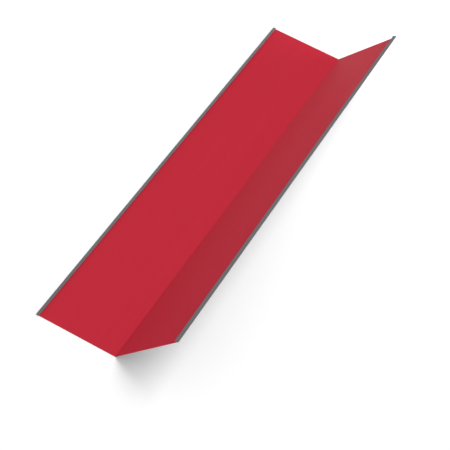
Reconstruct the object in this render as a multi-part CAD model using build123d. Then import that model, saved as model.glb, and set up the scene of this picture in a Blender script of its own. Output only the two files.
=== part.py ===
from build123d import *
from math import radians, tan
import os

# Valley flashing: one sheet of coated steel, creased along its middle into an open V, with both long
# edges folded back over the wings as return lips. It lies on one wing, trough side up, with its crease
# along Y. Lengths are in millimetres and angles in degrees.
stock_length = 2000.0  # along the crease
wing_width = 333.0  # across one wing, from the crease's outer corner to the outside of its lip's bend
valley_angle = 130.0  # between the two wings, on the trough side
lip_length = 16.0  # across one lip, from the outside of its bend to the raw edge
lip_angle = 23.0  # between a lip and the wing that it is folded over
sheet_thickness = 0.5
crease_inside_radius = 1.5
bend_inside_radius = 1.0

# The section is drawn along the underside, which runs round the outside of every bend.
crease_radius = crease_inside_radius + sheet_thickness
bend_radius = bend_inside_radius + sheet_thickness
crease_turn = 180.0 - valley_angle
bend_turn = 180.0 - lip_angle
crease_setback = crease_radius * tan(radians(crease_turn / 2))  # from the outer corner to the bend's end
wing_flat = wing_width - crease_setback - bend_radius
lip_flat = lip_length - bend_radius


def draw_wing(start, heading, turn_sign):
    """Draw one wing outwards from the crease, then its bend and its lip."""
    wing = PolarLine(start, wing_flat, direction=heading)
    bend = JernArc(wing @ 1, wing % 1, bend_radius, turn_sign * bend_turn)
    PolarLine(bend @ 1, lip_flat, direction=bend % 1)


with BuildPart() as folded_sheet:
    with BuildSketch(Plane.XZ):
        with BuildLine():
            crease = JernArc((0, 0), (1, 0), crease_radius, crease_turn)
            draw_wing(crease @ 1, crease % 1, 1)  # the wing that stands up
            draw_wing(crease @ 0, -(crease % 0), -1)  # the wing that lies flat
            offset(amount=sheet_thickness, side=Side.LEFT, closed=True)
        make_face()
    extrude(amount=stock_length / 2, both=True)

# The flat wing's underside is at Z = 0, and the origin is below the middle of the whole.
middle = folded_sheet.part.bounding_box().center()
valley_flashing = Pos(X=-middle.X) * folded_sheet.part
valley_flashing.label = "valley_flashing"

os.makedirs("parts", exist_ok=True)
export_step(valley_flashing, "parts/valley_flashing.step")
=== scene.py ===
import bmesh
import bpy
from math import radians, tan
from mathutils import Matrix, Quaternion, Vector


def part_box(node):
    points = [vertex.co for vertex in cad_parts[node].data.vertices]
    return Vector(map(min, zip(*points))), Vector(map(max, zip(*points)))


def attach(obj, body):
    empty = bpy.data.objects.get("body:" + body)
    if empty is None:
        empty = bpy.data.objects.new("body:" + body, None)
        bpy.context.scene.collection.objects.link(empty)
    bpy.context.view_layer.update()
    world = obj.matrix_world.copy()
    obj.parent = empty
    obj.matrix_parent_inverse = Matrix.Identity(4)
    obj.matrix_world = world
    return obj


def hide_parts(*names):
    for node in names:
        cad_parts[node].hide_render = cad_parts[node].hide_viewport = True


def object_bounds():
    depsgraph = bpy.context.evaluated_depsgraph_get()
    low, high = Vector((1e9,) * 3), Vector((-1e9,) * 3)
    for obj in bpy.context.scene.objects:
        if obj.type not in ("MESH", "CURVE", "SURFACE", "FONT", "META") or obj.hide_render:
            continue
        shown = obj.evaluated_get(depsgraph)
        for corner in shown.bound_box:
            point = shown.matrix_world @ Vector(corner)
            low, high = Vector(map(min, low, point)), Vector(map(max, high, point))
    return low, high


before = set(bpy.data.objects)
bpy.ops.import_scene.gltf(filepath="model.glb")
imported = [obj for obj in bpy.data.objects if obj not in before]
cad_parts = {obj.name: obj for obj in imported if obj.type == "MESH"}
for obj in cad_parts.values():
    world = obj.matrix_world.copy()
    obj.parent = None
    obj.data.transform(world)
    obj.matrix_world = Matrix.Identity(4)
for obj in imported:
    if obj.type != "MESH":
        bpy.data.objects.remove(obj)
cadLow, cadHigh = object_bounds()
sheetLow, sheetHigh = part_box("valley_flashing")
mm = 0.001
white = (1, 1, 1, 1)
print("frame loaded:", [round(v, 4) for v in cadHigh - cadLow])


# camera, turned with the sheet so that it crosses the picture from low left to high right
shot = {
    "place": (1.1363, -3.8579, 4.0859),
    "aim": (0.0945, -0.2002, 0.0011),
    "rollDeg": 15.28,
    "lens": 113.74,
    "sensor": 36.0,
    "farthest": 200.0,  # how far it sees
}


def setCamera():
    data = bpy.data.cameras.new("productCamera")
    data.lens = shot["lens"]
    data.sensor_width = shot["sensor"]
    data.clip_end = shot["farthest"]
    camera = bpy.data.objects.new("productCamera", data)
    bpy.context.collection.objects.link(camera)
    place = Vector(shot["place"])
    look = (Vector(shot["aim"]) - place).to_track_quat("-Z", "Y")
    camera.location = place
    camera.rotation_mode = "QUATERNION"
    camera.rotation_quaternion = look @ Quaternion((0, 0, 1), radians(shot["rollDeg"]))
    bpy.context.scene.camera = camera


# small helpers for node trees
def clearTree(owner):
    # owner is a material or a world
    owner.use_nodes = True
    owner.node_tree.nodes.clear()
    return owner.node_tree


def addNode(tree, kind, **settings):
    node = tree.nodes.new(kind)
    for key, value in settings.items():
        if hasattr(node, key):
            setattr(node, key, value)
        else:
            node.inputs[key].default_value = value
    return node


def seenRays(tree):
    # 1 for rays that look at the background, 0 for the ones that only carry light
    path = addNode(tree, "ShaderNodeLightPath")
    first = addNode(tree, "ShaderNodeMath", operation="MAXIMUM")
    both = addNode(tree, "ShaderNodeMath", operation="MAXIMUM")
    tree.links.new(path.outputs["Is Camera Ray"], first.inputs[0])
    tree.links.new(path.outputs["Is Glossy Ray"], first.inputs[1])
    tree.links.new(first.outputs[0], both.inputs[0])
    tree.links.new(path.outputs["Is Transmission Ray"], both.inputs[1])
    return both.outputs[0]


# an even white room
room = {
    "lightStrength": 0.48,
    "seenStrength": 1.0,  # shows as white
}


def lightRoom():
    world = bpy.data.worlds.new("whiteRoom")
    bpy.context.scene.world = world
    tree = clearTree(world)
    strength = addNode(tree, "ShaderNodeMapRange")
    strength.inputs["To Min"].default_value = room["lightStrength"]
    strength.inputs["To Max"].default_value = room["seenStrength"]
    walls = addNode(tree, "ShaderNodeBackground", Color=white)
    out = addNode(tree, "ShaderNodeOutputWorld")
    tree.links.new(seenRays(tree), strength.inputs["Value"])
    tree.links.new(strength.outputs[0], walls.inputs["Strength"])
    tree.links.new(walls.outputs[0], out.inputs["Surface"])


# one soft lamp overhead and two low panels, one past the raised wing and one far off past the flat one
softLamp = {
    "strength": 1.90,
    "angleDeg": 40,
    "from": (0.30, 0.45, 0.84),
}
panels = {
    "sidePanel": {"watts": 16.0, "size": (1.0, 0.5), "place": (1.4, 1.25, 0.35), "aim": (0.2, 0.6, 0.0)},
    "backPanel": {"watts": 14.5, "size": (2.4, 0.25), "place": (-2.6, 2.6, 0.15), "aim": (0.1, 0.6, 0.1)},
}


def hangLight(light, place, aim):
    holder = bpy.data.objects.new(light.name, light)
    holder.location = place
    holder.rotation_mode = "QUATERNION"
    holder.rotation_quaternion = (place - aim).to_track_quat("Z", "Y")
    bpy.context.collection.objects.link(holder)


def hangLights():
    lamp = bpy.data.lights.new("softLamp", "SUN")
    lamp.energy = softLamp["strength"]
    lamp.angle = radians(softLamp["angleDeg"])
    hangLight(lamp, Vector(softLamp["from"]), Vector((0, 0, 0)))
    for name, panel in panels.items():
        light = bpy.data.lights.new(name, "AREA")
        light.shape = "RECTANGLE"
        light.energy = panel["watts"]
        light.size, light.size_y = panel["size"]
        hangLight(light, Vector(panel["place"]), Vector(panel["aim"]))


# pale floor, lifted to white where nothing shades it
paleFloor = {
    "reach": 30.0,
    "drop": 0.3 * mm,  # keeps it clear of the wing that lies on it
    "color": (0.92, 0.92, 0.92, 1),
    "lift": 0.11,
}


def layFloor():
    bm = bmesh.new()
    bmesh.ops.create_grid(bm, x_segments=1, y_segments=1, size=paleFloor["reach"])
    bmesh.ops.translate(bm, verts=bm.verts, vec=(0, 0, cadLow.z - paleFloor["drop"]))
    mesh = bpy.data.meshes.new("paleFloor")
    bm.to_mesh(mesh)
    bm.free()
    floor = bpy.data.objects.new("paleFloor", mesh)
    bpy.context.collection.objects.link(floor)
    paint = bpy.data.materials.new("paleFloorPaint")
    tree = clearTree(paint)
    matt = addNode(tree, "ShaderNodeBsdfDiffuse", Color=paleFloor["color"])
    lift = addNode(tree, "ShaderNodeMath", operation="MULTIPLY")
    lift.inputs[1].default_value = paleFloor["lift"]
    glow = addNode(tree, "ShaderNodeEmission", Color=white)
    both = addNode(tree, "ShaderNodeAddShader")
    out = addNode(tree, "ShaderNodeOutputMaterial")
    tree.links.new(seenRays(tree), lift.inputs[0])
    tree.links.new(lift.outputs[0], glow.inputs["Strength"])
    tree.links.new(matt.outputs[0], both.inputs[0])
    tree.links.new(glow.outputs[0], both.inputs[1])
    tree.links.new(both.outputs[0], out.inputs["Surface"])
    mesh.materials.append(paint)


# noise that the finishes share
finishNoise = {
    "roughness": 0.55,
    "low": 0.3,  # most of the noise lies from low to high
    "high": 0.7,
}


def objectNoise(tree, scale, detail):
    # noise on the sheet's own coordinates, stretched where the three scales differ
    where = addNode(tree, "ShaderNodeTexCoord")
    stretch = addNode(tree, "ShaderNodeMapping", Scale=scale)
    noise = addNode(tree, "ShaderNodeTexNoise", Scale=1.0, Detail=detail, Roughness=finishNoise["roughness"])
    tree.links.new(where.outputs["Object"], stretch.inputs["Vector"])
    tree.links.new(stretch.outputs[0], noise.inputs["Vector"])
    return noise.outputs["Fac"]


def spread(tree, value, low, high):
    # the noise's middle, stretched over low to high
    ranger = addNode(tree, "ShaderNodeMapRange")
    ranger.inputs["From Min"].default_value = finishNoise["low"]
    ranger.inputs["From Max"].default_value = finishNoise["high"]
    ranger.inputs["To Min"].default_value = low
    ranger.inputs["To Max"].default_value = high
    tree.links.new(value, ranger.inputs["Value"])
    return ranger.outputs[0]


def twoTone(tree, value, deep, light):
    mix = addNode(tree, "ShaderNodeMix", data_type="RGBA")
    tones = [socket for socket in mix.inputs if socket.type == "RGBA"]
    tones[0].default_value = deep
    tones[1].default_value = light
    tree.links.new(spread(tree, value, 0, 1), mix.inputs["Factor"])
    return next(socket for socket in mix.outputs if socket.type == "RGBA")


def makeSkin(tree, finish, pattern, height):
    # tone and roughness follow the pattern, and height is the fine relief
    skin = addNode(tree, "ShaderNodeBsdfPrincipled")
    bump = addNode(tree, "ShaderNodeBump", Strength=1.0, Distance=finish["reliefHeight"])
    out = addNode(tree, "ShaderNodeOutputMaterial")
    tree.links.new(twoTone(tree, pattern, finish["deep"], finish["light"]), skin.inputs["Base Color"])
    tree.links.new(spread(tree, pattern, finish["roughLow"], finish["roughHigh"]), skin.inputs["Roughness"])
    tree.links.new(height, bump.inputs["Height"])
    tree.links.new(bump.outputs["Normal"], skin.inputs["Normal"])
    tree.links.new(skin.outputs[0], out.inputs["Surface"])
    return skin


# red coat on the trough side, faintly streaked along the sheet, with a roller's fine peel
redCoat = {
    "light": (0.532, 0.0215, 0.0420, 1),
    "deep": (0.512, 0.0195, 0.0395, 1),
    "roughLow": 0.48,
    "roughHigh": 0.54,
    "sheen": 0.05,
    "rollerGrain": 0.9,  # spreads the sheen across the sheet
    "streakScale": (18, 1.2, 18),
    "streakDetail": 4,
    "peelScale": (260, 260, 260),
    "peelDetail": 2,
    "reliefHeight": 0.010 * mm,
}


def makeRedCoat(acrossMap):
    material = bpy.data.materials.new("redFaceCoat")
    tree = clearTree(material)
    streaks = objectNoise(tree, redCoat["streakScale"], redCoat["streakDetail"])
    peel = objectNoise(tree, redCoat["peelScale"], redCoat["peelDetail"])
    skin = makeSkin(tree, redCoat, streaks, peel)
    skin.inputs["Specular IOR Level"].default_value = redCoat["sheen"]
    skin.inputs["Anisotropic"].default_value = redCoat["rollerGrain"]
    across = addNode(tree, "ShaderNodeTangent", direction_type="UV_MAP", uv_map=acrossMap)
    tree.links.new(across.outputs[0], skin.inputs["Tangent"])
    return material


# grey coat on the underside, which the lips turn up into view
greyCoat = {
    "light": (0.152, 0.141, 0.150, 1),
    "deep": (0.139, 0.129, 0.138, 1),
    "roughLow": 0.48,
    "roughHigh": 0.62,
    "sheen": 0.15,
    "streakScale": (40, 1.6, 40),
    "streakDetail": 5,
    "grainScale": (320, 320, 320),
    "grainDetail": 3,
    "reliefHeight": 0.010 * mm,
}


def makeGreyCoat():
    material = bpy.data.materials.new("greyBackCoat")
    tree = clearTree(material)
    streaks = objectNoise(tree, greyCoat["streakScale"], greyCoat["streakDetail"])
    grain = objectNoise(tree, greyCoat["grainScale"], greyCoat["grainDetail"])
    skin = makeSkin(tree, greyCoat, streaks, grain)
    skin.inputs["Specular IOR Level"].default_value = greyCoat["sheen"]
    return material


# bare steel on the cut edges
cutEdge = {
    "light": (0.62, 0.60, 0.58, 1),
    "deep": (0.42, 0.41, 0.40, 1),
    "roughLow": 0.30,
    "roughHigh": 0.50,
    "shearScale": (900, 900, 150),
    "shearDetail": 3,
    "reliefHeight": 0.02 * mm,
}


def makeCutEdge():
    material = bpy.data.materials.new("shearedSteelEdge")
    tree = clearTree(material)
    shear = objectNoise(tree, cutEdge["shearScale"], cutEdge["shearDetail"])
    skin = makeSkin(tree, cutEdge, shear, shear)
    skin.inputs["Metallic"].default_value = 1.0
    return material


# the folded sheet, drawn along its underside
flashing = {
    "wingWidth": 333 * mm,  # crease corner to the outside of the lip's bend
    "valleyDeg": 130,
    "lipLength": 16 * mm,
    "lipDeg": 23,
    "thickness": 0.5 * mm,
    "creaseRadius": 2.0 * mm,
    "bendRadius": 1.5 * mm,
    "creaseSteps": 12,
    "bendSteps": 28,
    "weldGap": 0.001 * mm,
    "bendFacet": 0.5 * mm,  # a face narrower than this is part of a bend
    "acrossMap": "acrossSheet",
}
creaseTurn = radians(180 - flashing["valleyDeg"])
lipTurn = radians(180 - flashing["lipDeg"])
creaseSetback = flashing["creaseRadius"] * tan(creaseTurn / 2)  # crease corner to where its bend ends


def runOut(bm, edge, step):
    # carries the sheet's free edge straight on
    made = bmesh.ops.extrude_edge_only(bm, edges=[edge])["geom"]
    ends = [g for g in made if isinstance(g, bmesh.types.BMVert)]
    bmesh.ops.translate(bm, verts=ends, vec=step)
    return bm.edges.get(ends)


def bendRound(bm, edge, centre, angle, steps):
    # turns the free edge about a line along the sheet
    turned = [edge, *edge.verts]
    made = bmesh.ops.spin(bm, geom=turned, cent=centre, axis=(0, 1, 0), angle=angle, steps=steps)
    ends = [g for g in made["geom_last"] if isinstance(g, bmesh.types.BMVert)]
    return bm.edges.get(ends)


def foldWing(bm, edge, heading, inward, turn):
    # a wing straight out from the crease, the bend at its edge and the lip folded back over it
    radius = flashing["bendRadius"]
    edge = runOut(bm, edge, heading * (flashing["wingWidth"] - creaseSetback - radius))
    centre = edge.verts[0].co + inward * radius
    edge = bendRound(bm, edge, centre, turn, flashing["bendSteps"])
    back = Matrix.Rotation(turn, 3, "Y") @ heading
    runOut(bm, edge, back * (flashing["lipLength"] - radius))


def foldSheet(bm):
    # both wings from one line at the crease, then every face turned to the trough side
    radius = flashing["creaseRadius"]
    creaseX = sheetLow.x + flashing["wingWidth"] - creaseSetback
    ends = [bm.verts.new((creaseX, y, sheetLow.z)) for y in (sheetLow.y, sheetHigh.y)]
    crease = bm.edges.new(ends)
    foldWing(bm, crease, Vector((-1, 0, 0)), Vector((0, 0, 1)), lipTurn)
    raised = bendRound(bm, crease, (creaseX, 0, sheetLow.z + radius), -creaseTurn, flashing["creaseSteps"])
    tilt = Matrix.Rotation(-creaseTurn, 3, "Y")
    foldWing(bm, raised, tilt @ Vector((1, 0, 0)), tilt @ Vector((0, 0, 1)), -lipTurn)
    bmesh.ops.remove_doubles(bm, verts=bm.verts, dist=flashing["weldGap"])
    bmesh.ops.recalc_face_normals(bm, faces=bm.faces)
    wing = max(bm.faces, key=lambda face: face.calc_area())
    if wing.normal.z < 0:
        bmesh.ops.reverse_faces(bm, faces=bm.faces)


def mapSheet(bm):
    # U runs across the sheet and V along it, and the bends are shaded smooth
    across = bm.loops.layers.uv.new(flashing["acrossMap"])
    bendArea = flashing["bendFacet"] * (sheetHigh.y - sheetLow.y)
    for face in bm.faces:
        face.smooth = face.calc_area() < bendArea
        for loop in face.loops:
            place = loop.vert.co
            loop[across].uv = (place.x + place.z, place.y)


def makeSheet(troughCoat, backCoat, edgeFinish):
    bm = bmesh.new()
    foldSheet(bm)
    mapSheet(bm)
    mesh = bpy.data.meshes.new("foldedSheet")
    bm.to_mesh(mesh)
    bm.free()
    for material in (troughCoat, backCoat, edgeFinish):
        mesh.materials.append(material)
    sheet = bpy.data.objects.new("foldedSheet", mesh)
    bpy.context.collection.objects.link(sheet)
    gauge = sheet.modifiers.new("gauge", "SOLIDIFY")
    gauge.thickness = flashing["thickness"]
    gauge.offset = 1.0  # grows from the underside to the trough side
    gauge.use_even_offset = True
    gauge.material_offset = 1  # backCoat
    gauge.material_offset_rim = 2  # edgeFinish
    return sheet


setCamera()
lightRoom()
hangLights()
layFloor()
print("camera, light and floor set")
sheet = makeSheet(makeRedCoat(flashing["acrossMap"]), makeGreyCoat(), makeCutEdge())
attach(sheet, "root")
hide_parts("valley_flashing")
print("sheet folded:", len(sheet.data.polygons), "faces before its thickness")

bpy.context.scene.view_settings.view_transform = "Standard"
bpy.context.view_layer.update()
